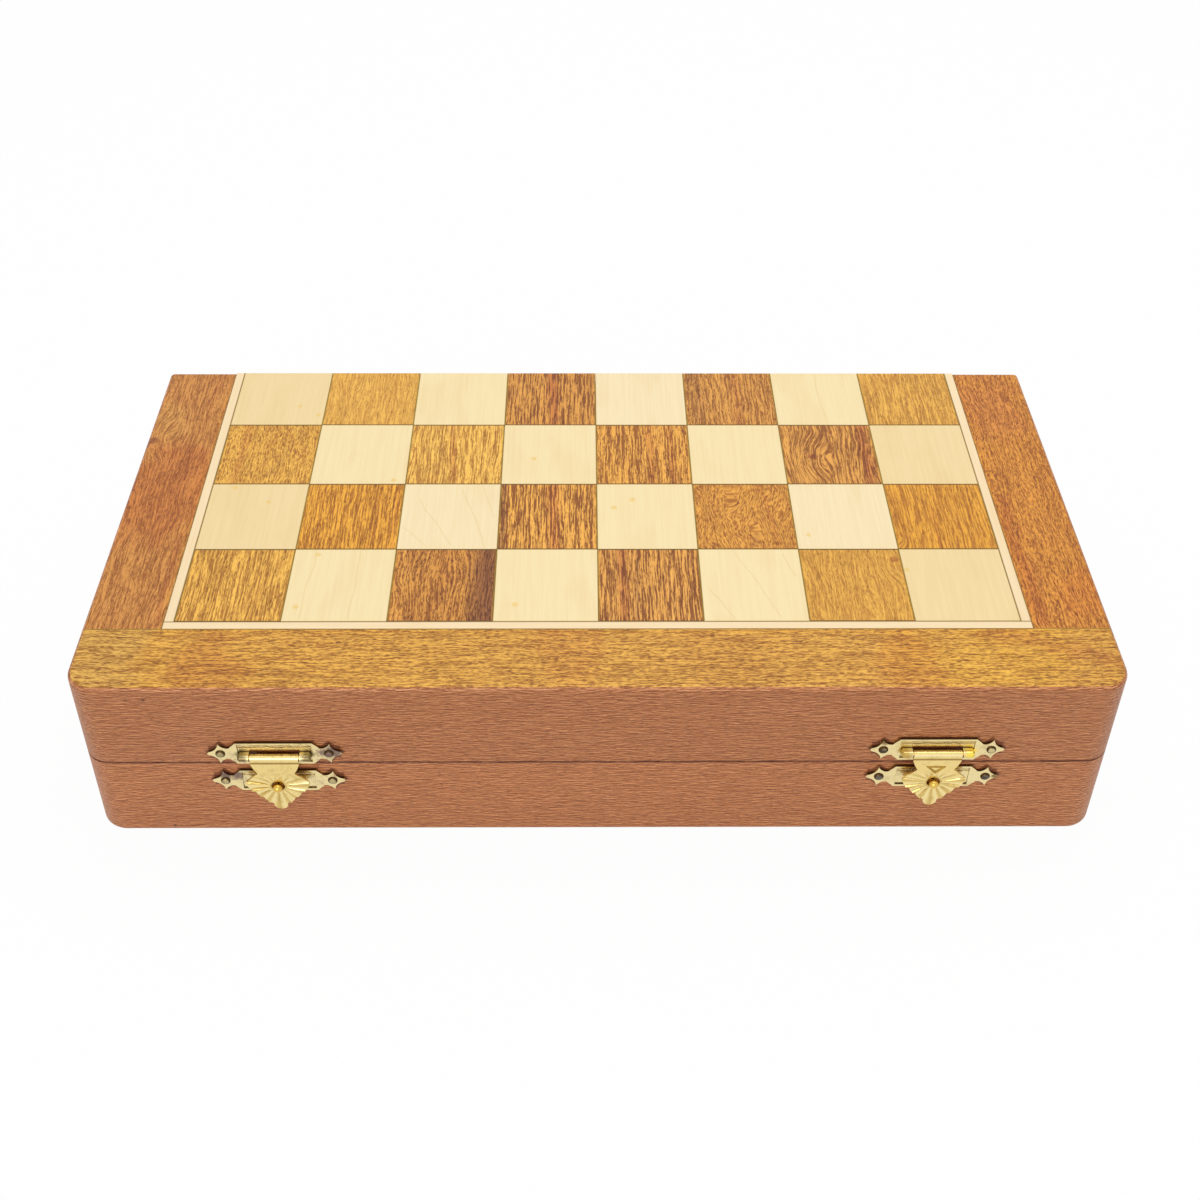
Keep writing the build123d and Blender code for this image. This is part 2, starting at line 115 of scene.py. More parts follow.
# ---------------------------------------- node helpers
class Tree:
    """A material's node tree, with short calls for the nodes that the looks are made of."""

    def __init__(self, name):
        self.material = bpy.data.materials.new(name)
        self.material.use_nodes = True
        self.nodes = self.material.node_tree.nodes
        self.links = self.material.node_tree.links
        self.shader = self.nodes["Principled BSDF"]
        self.coords = self.nodes.new("ShaderNodeTexCoord")

    def put(self, value, socket):
        if isinstance(value, bpy.types.NodeSocket):
            self.links.new(value, socket)
        elif isinstance(value, (tuple, list)) and len(value) == 3 and socket.type == "RGBA":
            socket.default_value = (*value, 1)
        else:
            socket.default_value = value

    def math(self, operation, a, b=0.0, c=0.0):
        node = self.nodes.new("ShaderNodeMath")
        node.operation = operation
        for value, socket in zip((a, b, c), node.inputs):
            self.put(value, socket)
        return node.outputs[0]

    def times(self, a, b):
        return self.math("MULTIPLY", a, b)

    def times_plus(self, a, b, c):
        return self.math("MULTIPLY_ADD", a, b, c)

    def minus(self, a, b):
        return self.math("SUBTRACT", a, b)

    def apart(self, a, b):
        """How far a and b lie from each other."""
        return self.math("ABSOLUTE", self.minus(a, b))

    def vector(self, operation, a, b=(0, 0, 0), scale=1.0):
        node = self.nodes.new("ShaderNodeVectorMath")
        node.operation = operation
        self.put(a, node.inputs[0])
        self.put(b, node.inputs[1])
        if operation == "SCALE":
            self.put(scale, node.inputs["Scale"])
        return node.outputs["Value" if operation in ("LENGTH", "DISTANCE", "DOT_PRODUCT") else "Vector"]

    def split(self, vector):
        node = self.nodes.new("ShaderNodeSeparateXYZ")
        self.put(vector, node.inputs[0])
        return node.outputs[0], node.outputs[1], node.outputs[2]

    def join(self, x, y, z):
        node = self.nodes.new("ShaderNodeCombineXYZ")
        for value, socket in zip((x, y, z), node.inputs):
            self.put(value, socket)
        return node.outputs[0]

    def noise(self, vector, stretch, detail=2.0, rough=0.5):
        """Noise from about -0.5 to 0.5, with stretch features per mm along each axis of the vector."""
        node = self.nodes.new("ShaderNodeTexNoise")
        node.inputs["Scale"].default_value = 1
        node.inputs["Detail"].default_value = detail
        node.inputs["Roughness"].default_value = rough
        self.put(self.vector("MULTIPLY", vector, stretch), node.inputs["Vector"])
        return self.minus(node.outputs["Fac"], 0.5)

    def step(self, value, low, high, to_low=0.0, to_high=1.0):
        """value from low..high, smoothly mapped to to_low..to_high and clamped."""
        node = self.nodes.new("ShaderNodeMapRange")
        node.interpolation_type = "SMOOTHSTEP"
        ends = {"Value": value, "From Min": low, "From Max": high, "To Min": to_low, "To Max": to_high}
        for key, end in ends.items():
            self.put(end, node.inputs[key])
        return node.outputs[0]

    def crisp(self, noise, width):
        """Noise sharpened to -0.5 and 0.5, with soft ends as wide as said."""
        return self.step(noise, -width, width, -0.5, 0.5)

    def mix(self, factor, a, b, blend="MIX"):
        node = self.nodes.new("ShaderNodeMix")
        node.data_type, node.blend_type = "RGBA", blend
        colour_inputs = [socket for socket in node.inputs if socket.type == "RGBA"]
        self.put(factor, node.inputs["Factor"])
        self.put(a, colour_inputs[0])
        self.put(b, colour_inputs[1])
        return next(socket for socket in node.outputs if socket.type == "RGBA")

    def tint(self, amount, colour, by):
        """colour, multiplied by the tint as far as amount says."""
        return self.mix(amount, colour, by, "MULTIPLY")

    def lookup(self, index, entries):
        """Constant colour per cell: index counts cells from 0, entries holds one colour for each."""
        node = self.nodes.new("ShaderNodeValToRGB")
        ramp = node.color_ramp
        ramp.interpolation = "CONSTANT"
        count = len(entries)
        while len(ramp.elements) < count:
            ramp.elements.new(0.5)
        for i, entry in enumerate(entries):
            ramp.elements[i].position = i / count
            ramp.elements[i].color = (*entry, 1)
        self.put(self.math("DIVIDE", self.math("ADD", index, 0.5), float(count)), node.inputs[0])
        return node.outputs["Color"]

    def millimetres(self):
        return self.vector("SCALE", self.coords.outputs["Object"], scale=1 / MM)

    def upright(self):
        """1 where the surface faces up or down, 0 where it stands upright like a wall."""
        return self.math("ABSOLUTE", self.split(self.coords.outputs["Normal"])[2])

    def finish(self, colour, roughness, height=None, depth_mm=0.1, **fixed):
        """Join colour, roughness and bump to the shader, and set the inputs that stay fixed."""
        self.put(colour, self.shader.inputs["Base Color"])
        self.put(roughness, self.shader.inputs["Roughness"])
        for key, value in fixed.items():
            self.shader.inputs[key.replace("_", " ")].default_value = value
        if height is not None:
            bump = self.nodes.new("ShaderNodeBump")
            bump.inputs["Distance"].default_value = depth_mm * MM
            bump.inputs["Strength"].default_value = 1
            self.put(height, bump.inputs["Height"])
            self.links.new(bump.outputs[0], self.shader.inputs["Normal"])
        return self.material


# ---------------------------------------- timber
TONES = {
    "pale gold": (0.77, 0.40, 0.058),
    "golden": (0.70, 0.345, 0.044),
    "orange": (0.69, 0.295, 0.022),
    "amber": (0.64, 0.272, 0.034),
    "red": (0.575, 0.238, 0.034),
    "dark": (0.54, 0.213, 0.028),
}
CREAMS = {"cream": (0.88, 0.72, 0.41), "warm": (0.84, 0.655, 0.345), "pale": (0.885, 0.73, 0.45)}
# Light squares that are warmer or paler than the rest, by (file, rank).
LID_WARM, LID_PALE = ((7, 0), (0, 1), (0, 3), (7, 2)), ((2, 1), (4, 3), (6, 1))
SIDE_TONE = (0.428, 0.148, 0.0455)
LACQUER = {"Specular_IOR_Level": 0.30, "Coat_Weight": 0.06, "Coat_Roughness": 0.25}

# Each dark square of the lid by (file, rank), counted from the front left corner: timber tone, then
# how strongly the fibres, the swirl of the grain and the short flecks show, each from 0 to 1.
LID_DARK = {
    (0, 0): ("golden", (0.50, 0.06, 0.35)),
    (2, 0): ("dark", (0.60, 0.20, 0.80)),
    (4, 0): ("red", (0.95, 0.04, 0.40)),
    (6, 0): ("golden", (0.15, 0.25, 0.20)),
    (1, 1): ("orange", (0.50, 0.06, 0.35)),
    (3, 1): ("amber", (1.00, 0.04, 0.40)),
    (5, 1): ("amber", (0.20, 0.55, 1.00)),
    (7, 1): ("orange", (0.35, 0.10, 0.10)),
    (0, 2): ("golden", (0.20, 0.15, 0.80)),
    (2, 2): ("pale gold", (0.45, 0.15, 0.25)),
    (4, 2): ("amber", (0.75, 0.05, 0.55)),
    (6, 2): ("red", (0.75, 0.20, 0.30)),
    (1, 3): ("pale gold", (0.10, 0.25, 0.10)),
    (3, 3): ("dark", (0.90, 0.04, 0.25)),
    (5, 3): ("red", (0.55, 0.12, 0.50)),
    (7, 3): ("golden", (0.25, 0.12, 0.15)),
}

TINTS = {
    "purple": (0.32, 0.22, 0.45),
    "red": (0.80, 0.60, 0.62),
    "brown": (0.66, 0.52, 0.42),
    "pale": (1.16, 1.24, 1.40),
}
# Streaks in the lid's dark squares: tint, strength, half width, and the (x, y) of both ends, in mm.
DARK_STREAKS = (
    ("purple", 0.80, 7.0, (-33.5, -16.0), (-34.5, -50.5)),
    ("brown", 0.45, 3.0, (-47.0, -17.5), (-51.0, -50.0)),
    ("pale", 0.60, 1.8, (-59.5, -17.5), (-60.5, -50.0)),
    ("brown", 0.35, 1.8, (-103.0, -33.0), (-103.5, -50.0)),
    ("brown", 0.30, 1.6, (-116.0, -17.5), (-116.5, -50.0)),
    ("red", 0.80, 2.2, (7.5, -17.0), (8.0, -50.0)),
    ("purple", 0.35, 0.9, (12.3, -17.0), (12.0, -50.0)),
    ("pale", 0.70, 0.5, (22.5, -17.0), (22.3, -50.0)),
    ("brown", 0.45, 0.5, (64.0, -18.0), (71.0, -47.0)),
    ("pale", 0.45, 0.6, (81.0, -49.0), (93.0, -40.0)),
    ("brown", 0.40, 1.8, (-71.0, 14.5), (-71.5, -18.0)),
    ("red", 0.50, 0.8, (-65.0, 14.5), (-64.5, -18.0)),
    ("purple", 0.60, 1.5, (-30.3, 14.5), (-30.3, -18.0)),
    ("red", 0.85, 2.4, (-14.5, 14.5), (-13.5, -18.0)),
    ("purple", 0.30, 2.0, (50.5, -10.0), (49.5, -16.5)),
    ("red", 0.45, 1.2, (53.0, 13.0), (58.0, -16.0)),
    ("red", 0.45, 1.0, (108.0, 2.0), (108.3, -18.0)),
    ("red", 0.55, 2.2, (-119.0, 46.0), (-119.5, 13.5)),
    ("purple", 0.20, 2.0, (-100.5, 42.0), (-108.0, 17.0)),
    ("red", 0.55, 1.6, (-49.5, 46.5), (-47.0, 14.5)),
    ("purple", 0.25, 0.5, (-53.5, 46.0), (-51.0, 14.0)),
    ("red", 0.60, 1.5, (18.5, 46.5), (18.8, 13.5)),
    ("red", 0.60, 1.4, (25.5, 46.5), (25.7, 13.5)),
    ("red", 0.95, 2.8, (91.3, 46.5), (91.0, 13.5)),
    ("pale", 0.50, 0.5, (-92.0, 58.0), (-83.0, 66.5)),
    ("pale", 0.50, 0.5, (-83.0, 66.5), (-68.0, 61.0)),
    ("red", 0.95, 2.5, (-15.0, 78.0), (-14.6, 45.0)),
    ("pale", 0.80, 0.5, (-14.5, 78.0), (-14.3, 45.0)),
    ("pale", 0.60, 0.9, (-26.0, 78.0), (-26.0, 45.0)),
    ("purple", 0.28, 4.0, (35.5, 78.0), (36.0, 45.0)),
    ("pale", 0.70, 0.6, (44.0, 78.0), (44.2, 45.0)),
    ("red", 0.50, 2.2, (49.5, 78.0), (49.7, 45.0)),
    ("pale", 0.60, 0.6, (58.0, 78.0), (58.0, 45.0)),
    ("brown", 0.40, 0.6, (103.0, 72.0), (95.5, 55.0)),
)
# Growth lines of the lid's light squares, from end to end, then the middles of small stains.
GROWTH_LINES = (
    ((-44.0, 12.0), (-35.0, -17.0)), ((-37.0, 12.0), (-33.0, -3.0)),
    ((-58.0, 6.0), (-46.0, -16.0)), ((-62.0, -7.0), (-54.0, -16.0)),
    ((43.0, -18.5), (48.0, -30.0)), ((48.0, -30.0), (55.0, -48.0)),
    ((34.0, -36.0), (41.0, -48.0)), ((58.0, -20.0), (61.0, -30.0)),
    ((-88.0, -18.0), (-89.5, -48.0)), ((-74.0, -18.0), (-75.0, -48.0)), ((80.0, 47.0), (79.0, 76.0)),
)
STAINS = (
    (-103.5, 56.0), (-96.5, 51.0), (-67.0, 16.0), (-21.0, 27.0), (-118.5, 12.0), (-106.5, 5.0),
    (-87.0, -20.0), (-91.0, -43.0), (-25.0, -42.0), (11.5, 6.0), (5.5, 2.0), (67.0, -11.0), (95.5, -27.0),
)
STAIN_RADIUS = 1.3
# Knots of the lid's dark squares: x, y and radius.
KNOTS = ((92.5, -22.5, 2.0), (73.0, 28.0, 2.2))
# Streaks under the base, which is the other half of the board.
BASE_STREAKS = (
    ("purple", 0.60, 3.0, (-106.0, -17.0), (-109.0, -50.0)),
    ("red", 0.70, 2.2, (-50.0, 14.5), (-51.0, -18.0)),
    ("red", 0.60, 1.8, (12.0, 14.5), (13.0, -18.0)),
    ("brown", 0.50, 3.2, (72.0, 46.0), (76.0, 14.0)),
    ("pale", 0.60, 1.0, (-20.0, 46.0), (-22.0, 14.0)),
    ("purple", 0.50, 2.0, (112.0, 78.0), (110.0, 45.0)),
)
BASE_GROWTH_LINES = GROWTH_LINES[3:6]
BASE_SHIFT = 5.0

# Each layer of the timber's figure, in features per mm along the fibres and across them.
DRIFT = (0.035, 0.08, 0.08)
BANDS = (0.006, 0.20, 0.20)
FIBRES = (0.030, 1.6, 1.6)
THREADS = (0.16, 2.5, 2.5)
DASHES = (0.60, 2.6, 2.6)
PORES = (0.50, 2.5, 2.5)
# Each layer's share in the figure: growth with the square's fibre or fleck, then the least share.
FIBRE_SHARE, THREAD_SHARE, DASH_SHARE, BAND_SHARE = (0.62, 0.04), (0.72, 0.27), (0.60, 0.10), 0.34
# How far the fibres drift sideways in mm: growth with the square's swirl, then the least drift.
BEND = (24.0, 0.8)
# What the darkest and the lightest wood multiply the tone by, for faint and for strong fibres.
DARKEST = (0.62, 0.50, 0.42), (0.40, 0.28, 0.22)
LIGHTEST = (1.24, 1.34, 1.60), (1.42, 1.63, 2.20)
PORE_TINT = (0.48, 0.34, 0.30)
# How far the grain jumps from one square to the next, in mm along and across it.
DARK_JUMP, LIGHT_JUMP = (61.0, 37.0), (47.0, 29.0)
# A knot pushes the fibres aside by KNOT_PUSH mm within KNOT_REACH of its radius.
KNOT_PUSH, KNOT_REACH = 3.0, 4
# Glue lines and soiled edges round the squares and the light lines.
SIDE_JOINT, END_JOINT, LIGHT_JOINT = (0.33, 0.185, 0.01), (0.13, 0.06, 0.008), (0.42, 0.26, 0.03)
STRINGING_JOINT, BORDER_JOINT = (0.26, 0.14, 0.02), (0.25, 0.14, 0.015)


def dark_look(cell):
    """The lid's squares are chosen one by one; under the base they follow a simple sequence."""
    if cell in LID_DARK:
        return LID_DARK[cell]
    file, rank = cell
    name = list(TONES)[(3 * file + 2 * rank) % len(TONES)]
    return name, (0.25 + 0.2 * ((file + rank) % 4), 0.1 + 0.12 * ((file * 5 + rank) % 4), 0.3 * (file % 3))


def streak(t, place, wobble, half_width, start, end):
    """1 along the line from start to end, fading to 0 just past its half width and at its ends."""
    run = Vector(end) - Vector(start)
    along = t.vector("DOT_PRODUCT", place, (run.x / run.length_squared, run.y / run.length_squared, 0))
    offset = Vector(start).dot(run) / run.length_squared + 0.5
    ends = t.step(t.apart(along, offset), 0.53, 0.47)
    side = Vector((-run.y, run.x)).normalized()
    off = t.vector("DOT_PRODUCT", place, (side.x, side.y, 0))
    off = t.minus(t.math("ADD", off, wobble), side.dot(Vector(start)))
    return t.times(t.step(t.math("ABSOLUTE", off), half_width * 1.15, half_width * 0.1), ends)


def add_streaks(t, colour, place, streaks, wander=4.0):
    """Tint the wood along each streak, whose line wanders by about this many mm."""
    wobble = t.times(t.noise(place, (0.20, 0.05, 0.05), 3, 0.6), wander)
    for name, tint in TINTS.items():
        amount = 0.0
        for tone, strength, half_width, start, end in streaks:
            if tone == name:
                shown = streak(t, place, wobble, half_width, start, end)
                amount = t.math("MAXIMUM", amount, t.times(shown, strength))
        if amount:
            colour = t.tint(amount, colour, tint)
    return colour


def spots(t, place, wobble, centres, stretch):
    """The most that any round spot shows here; each centre is x, y, z and radius."""
    most = 0.0
    for *centre, radius in centres:
        centre = [part * factor for part, factor in zip(centre, stretch)]
        away = t.vector("DISTANCE", t.vector("MULTIPLY", place, stretch), centre)
        away = t.math("ADD", away, t.times(wobble, radius))
        most = t.math("MAXIMUM", most, t.step(away, radius, radius * 0.3))
    return most


def top_spots(t, place, wobble, marks, stretch=(1, 1, 0)):
    """Spots on the playing face, from marks (x, y, radius)."""
    return spots(t, place, wobble, [(x, y, 0, radius) for x, y, radius in marks], stretch)


def front_spots(t, place, wobble, marks, stretch=(1, 0, 1)):
    """Spots on the front wall, from marks (x, z, radius)."""
    return spots(t, place, wobble, [(x, 0, z, radius) for x, z, radius in marks], stretch)


def knot_pull(t, place, knots):
    """How far the knots push the fibres aside, in mm."""
    reach = [(x, y, KNOT_REACH * radius) for x, y, radius in knots]
    return t.times(top_spots(t, place, 0.0, reach, (1, 0.6, 0)), KNOT_PUSH)


def timber(t, grain, tone, fibre, swirl, fleck, pull=0.0):
    """Colour and height of timber. grain is the place in mm with X along the fibres; fibre, swirl and
    fleck say how strongly each shows, from 0 to 1; pull moves the fibres aside, in mm."""
    x, y, z = t.split(grain)
    bend = t.times_plus(swirl, *BEND)
    drift = t.times(t.noise(grain, DRIFT, 2), bend)
    y = t.math("ADD", t.math("ADD", y, pull), drift)
    bent = t.join(x, y, z)
    bands = t.noise(bent, BANDS, 3, 0.6)
    fibres = t.crisp(t.noise(bent, FIBRES, 1), 0.12)
    threads = t.crisp(t.noise(bent, THREADS, 1), 0.10)
    dashes = t.crisp(t.noise(bent, DASHES, 1), 0.10)
    body = t.times(bands, BAND_SHARE)
    body = t.times_plus(fibres, t.times_plus(fibre, *FIBRE_SHARE), body)
    body = t.times_plus(threads, t.times_plus(fibre, *THREAD_SHARE), body)
    body = t.times_plus(dashes, t.times_plus(fleck, *DASH_SHARE), body)
    shade = t.step(body, -0.60, 0.60)
    dark, light = t.mix(fibre, *DARKEST), t.mix(fibre, *LIGHTEST)
    colour = t.mix(shade, t.tint(1.0, tone, dark), t.tint(1.0, tone, light))
    pore = t.step(t.noise(bent, PORES, 1), 0.13, 0.18)
    colour = t.tint(t.times(pore, t.times_plus(fleck, 0.5, 0.4)), colour, PORE_TINT)
    return colour, t.minus(t.times(threads, 0.5), pore)


def cell_frame(t, jump, shift):
    """Place in mm, number of the square, place with X along its own grain, and mm from its edges."""
    place = t.millimetres()
    x, y, z = t.split(place)
    u = t.math("DIVIDE", t.minus(x, FIELD_X), SQUARE)
    v = t.math("DIVIDE", t.minus(y, FIELD_Y), SQUARE)
    index = t.times_plus(t.math("FLOOR", v), float(FILES), t.math("FLOOR", u))
    along = t.times_plus(index, jump[0], y)
    across = t.times_plus(index, jump[1] + shift, x)
    from_side = t.times(t.math("PINGPONG", u, 0.5), SQUARE)
    from_end = t.times(t.math("PINGPONG", v, 0.5), SQUARE)
    return place, index, t.join(along, across, z), from_side, from_end


def dark_square_material(name, shift, streaks, knots=()):
    """Dark squares, with their grain front to back; shift gives each half of the board its own figure."""
    t = Tree(name)
    place, index, grain, from_side, from_end = cell_frame(t, DARK_JUMP, shift)
    cells = [dark_look((i % FILES, i // FILES)) for i in range(FILES * RANKS)]
    tone = t.lookup(index, [TONES[look[0]] for look in cells])
    fibre, swirl, fleck = t.split(t.lookup(index, [look[1] for look in cells]))
    colour, height = timber(t, grain, tone, fibre, swirl, fleck, knot_pull(t, place, knots))
    colour = add_streaks(t, colour, place, streaks)
    if knots:
        rough_edge = t.times(t.noise(place, (0.5, 0.5, 0.5), 2), 1.5)
        shown = top_spots(t, place, rough_edge, knots)
        colour = t.tint(t.times(shown, 0.8), colour, (0.62, 0.40, 0.45))
    colour = t.mix(t.step(from_side, 0.50, 0.20, 0.0, 0.85), colour, SIDE_JOINT)
    colour = t.mix(t.step(from_end, 0.50, 0.22, 0.0, 0.92), colour, END_JOINT)
    return t.finish(colour, t.step(height, -0.8, 0.3, 0.48, 0.36), height, 0.10, **LACQUER)


def light_square_material(name, shift, lines, stains=()):
    """Light squares: maple with a few growth lines and, where the lid has them, small stains."""
    t = Tree(name)
    place, index, grain, from_side, from_end = cell_frame(t, LIGHT_JUMP, shift)
    cells = [(i % FILES, i // FILES) for i in range(FILES * RANKS)]
    names = ["warm" if cell in LID_WARM else "pale" if cell in LID_PALE else "cream" for cell in cells]
    tone = t.lookup(index, [CREAMS[name] for name in names])
    colour, height = maple(t, grain, tone)
    wobble = t.times(t.noise(place, (0.12, 0.05, 0.05), 2), 3.0)
    line = 0.0
    for start, end in lines:
        line = t.math("MAXIMUM", line, streak(t, place, wobble, 0.32, start, end))
    colour = t.tint(t.times(line, 0.50), colour, (0.88, 0.80, 0.62))
    if stains:
        wobble = t.noise(place, (0.5, 0.5, 0.5), 2)
        stain = top_spots(t, place, wobble, [(x, y, STAIN_RADIUS) for x, y in stains])
        colour = t.mix(t.times(stain, 0.55), colour, (0.80, 0.52, 0.10))
    near = t.math("MINIMUM", from_side, from_end)
    colour = t.mix(t.step(near, 0.34, 0.10, 0.0, 0.75), colour, LIGHT_JOINT)
    return t.finish(colour, 0.38, height, 0.02, **LACQUER)


def maple(t, grain, tone):
    """Colour and height of the light wood: faint fibres and broad clouds."""
    fibres = t.noise(grain, (0.04, 1.1, 1.1), 3, 0.6)
    colour = t.mix(t.step(fibres, -0.18, 0.18), t.tint(1.0, tone, (0.965, 0.945, 0.91)), tone)
    clouds = t.noise(grain, (0.03, 0.08, 0.08), 2)
    return t.tint(t.step(clouds, 0.02, 0.16, 0.0, 0.6), colour, (0.97, 0.94, 0.88)), fibres


# Half length and height of the painted contact shade and dirt round a plate's body and neck, then its reach
# round a flower.
SHADE_AND_GRIME_BODY, SHADE_AND_GRIME_NECK, SHADE_AND_GRIME_FLOWER = (11.6, 4.5), (19.0, 2.3), 4.4
# Colour of the painted contact shade and dirt round the plates.
SHADE_AND_GRIME_TINT = (0.34, 0.22, 0.18)


def outside_bar(t, across, up, half):
    """How far a place lies outside a bar of the given half length and half height."""
    return t.math("MAXIMUM", t.minus(across, half[0]), t.minus(up, half[1]))


def plate_shade_and_grime(t, place):
    """1 in the painted contact shade and dirt on the front wall, close round each stamped plate."""
    x, y, z = t.split(place)
    most = 0.0
    for side in ("left", "right"):
        latch_x, *plate_zs, _ = latch_places(side)
        across = t.apart(x, latch_x)
        for plate_z in plate_zs:
            up = t.apart(z, plate_z)
            body = outside_bar(t, across, up, SHADE_AND_GRIME_BODY)
            neck = outside_bar(t, across, up, SHADE_AND_GRIME_NECK)
            from_nail = t.apart(across, NAIL_SPACING / 2)
            flower = t.minus(t.math("ADD", from_nail, up), SHADE_AND_GRIME_FLOWER)
            outside = t.math("MINIMUM", t.math("MINIMUM", body, neck), flower)
            most = t.math("MAXIMUM", most, t.step(outside, 0.65, 0.0))
    return t.times(most, t.step(y, FRONT_Y + 0.6, FRONT_Y + 0.2))


OPEN_GRAIN, GRAIN_DROP = (0.24, 0.24, 2.6), 0.30
# Tints of the painted highlight and shade on the open grain's relief.
GRAIN_HIGHLIGHT, GRAIN_SHADE = (1.50, 1.85, 2.10), (0.50, 0.36, 0.30)


def open_grain_shading(t, place):
    """Painted highlight and shade on the relief of the walls' open grain: noise less the same noise a little
    lower.
    """
    x, y, z = t.split(place)
    lower = t.join(x, y, t.minus(z, GRAIN_DROP))
    upper_noise = t.crisp(t.noise(place, OPEN_GRAIN, 3, 0.7), 0.20)
    lower_noise = t.crisp(t.noise(lower, OPEN_GRAIN, 3, 0.7), 0.20)
    return t.minus(upper_noise, lower_noise)


def parting_line(t, z, colour):
    """Shade on the walls along the line where lid and base meet."""
    near = t.times(t.step(t.apart(z, PARTING_Z), 0.60, 0.25), t.step(t.upright(), 0.97, 0.85))
    return t.tint(near, colour, (0.36, 0.27, 0.25))


def wall_look(t, place, on_wall, colour):
    """The walls are close to their side tone, with painted highlights and shade on their open grain, and
    painted light that makes the base a little lighter.
    """
    z = t.split(place)[2]
    colour = t.mix(t.step(on_wall, 0.0, 1.0, 0.0, 0.62), colour, SIDE_TONE)
    # Painted highlights and shade of the open grain's relief.
    relief = t.times(open_grain_shading(t, place), on_wall)
    colour = t.tint(t.step(relief, 0.04, 0.50, 0.0, 0.95), colour, GRAIN_HIGHLIGHT)
    colour = t.tint(t.step(relief, -0.04, -0.50, 0.0, 0.95), colour, GRAIN_SHADE)
    # Painted light: the base's walls are made a little lighter than the lid's.
    on_base = t.times(t.step(z, PARTING_Z, PARTING_Z - 0.1), on_wall)
    return t.tint(on_base, colour, (1.09, 1.09, 1.10))


def face_marks(t, place, along_x, colour, streaks, patches, knots):
    """Patches, streaks and knots of the playing face, and the joint with the light line."""
    x, y, _ = t.split(place)
    cloud = t.noise(place, (0.05, 0.05, 0.05), 3)
    for px, py, radius, tint, strength in patches:
        patch = top_spots(t, place, t.times(cloud, 3.0), [(px, py, radius)], (1, 0.7, 0))
        colour = t.tint(t.times(patch, strength), colour, tint)
    colour = add_streaks(t, colour, place, streaks, 6.0)
    if knots:
        shown = top_spots(t, place, t.times(cloud, 4.0), knots)
        colour = t.tint(t.times(shown, 0.9), colour, (0.50, 0.36, 0.42))
    from_line = t.minus(t.math("ABSOLUTE", x), INNER_X)
    if along_x:
        from_line = t.minus(INNER_Y, y)
    colour = t.mix(t.step(from_line, 0.55, 0.15, 0.0, 0.8), colour, BORDER_JOINT)
    return t.tint(t.step(from_line, 3.5, 0.5, 0.0, 0.5), colour, (1.02, 0.98, 0.70))


def border_material(name, along_x, top, looks, streaks=(), patches=(), knots=(), specks=()):
    """Border rail: top is the playing face's tone, looks are fibre, swirl and fleck, patches are
    (x, y, radius, tint, strength), and specks are dark spots (x, z, radius) on the front wall."""
    t = Tree(name)
    place = t.millimetres()
    x, y, z = t.split(place)
    upright = t.upright()
    on_top_face = t.step(upright, 0.80, 0.95)
    on_wall = t.minus(1.0, on_top_face)
    # The rounded edge between the top and the wall, which gets a painted highlight.
    rounding_highlight = t.times(t.step(upright, 0.15, 0.45), on_wall)
    grain = place if along_x else t.join(y, x, z)
    tone = t.mix(on_top_face, SIDE_TONE, top)
    colour, height = timber(t, grain, tone, *looks, knot_pull(t, place, knots))
    colour = wall_look(t, place, on_wall, colour)
    marked = face_marks(t, place, along_x, colour, streaks, patches, knots)
    # Painted highlight on the rounded edge; the playing face's marks on the top.
    colour = t.mix(on_top_face, t.tint(rounding_highlight, colour, (1.15, 1.25, 1.45)), marked)
    colour = parting_line(t, z, colour)
    if along_x:
        # Painted contact shade and dirt round the stamped plates.
        colour = t.tint(t.times(plate_shade_and_grime(t, place), 0.85), colour, SHADE_AND_GRIME_TINT)
    if specks:
        dark = front_spots(t, place, 0.0, specks)
        colour = t.tint(t.times(dark, 0.85), colour, (0.25, 0.18, 0.20))
    return t.finish(colour, t.step(height, -0.8, 0.3, 0.50, 0.40), height, 0.10, **LACQUER)


def plain_timber(name, tone):
    """Timber that the photo doesn't show: the back rail and the plywood."""
    t = Tree(name)
    place = t.millimetres()
    colour, height = timber(t, place, tone, 0.4, 0.1, 0.4)
    colour = parting_line(t, t.split(place)[2], colour)
    return t.finish(colour, 0.5, height, 0.1, Specular_IOR_Level=0.35)


def stringing_material(name, along_x):
    """Light line round the squares, with the dark joint on its inner edge."""
    t = Tree(name)
    place = t.millimetres()
    x, y, z = t.split(place)
    grain, from_squares = place, t.minus(FIELD_Y, y)
    if not along_x:
        grain, from_squares = t.join(y, x, z), t.math("ADD", t.math("ABSOLUTE", x), FIELD_X)
    colour, height = maple(t, grain, (0.90, 0.71, 0.445))
    colour = t.mix(t.step(from_squares, 0.45, 0.15, 0.0, 0.85), colour, STRINGING_JOINT)
    return t.finish(colour, 0.38, height, 0.02, **LACQUER)


VELVET_DEEP, VELVET_GREEN, VELVET_SHEEN = (0.018, 0.075, 0.035), (0.035, 0.125, 0.06), (0.35, 0.75, 0.5, 1)


def velvet_material(name):
    """Green pile, crushed darker in broad patches."""
    t = Tree(name)
    place = t.millimetres()
    nap = t.noise(place, (2.4, 2.4, 2.4), 3, 0.7)
    crush = t.noise(place, (0.06, 0.06, 0.06), 4, 0.6)
    colour = t.mix(t.step(crush, -0.15, 0.15), VELVET_DEEP, VELVET_GREEN)
    colour = t.tint(t.step(nap, -0.2, 0.2), colour, (1.5, 1.5, 1.5))
    sheen = {"Sheen_Weight": 0.8, "Sheen_Roughness": 0.35, "Sheen_Tint": VELVET_SHEEN}
    return t.finish(colour, 0.95, nap, 0.15, **sheen)


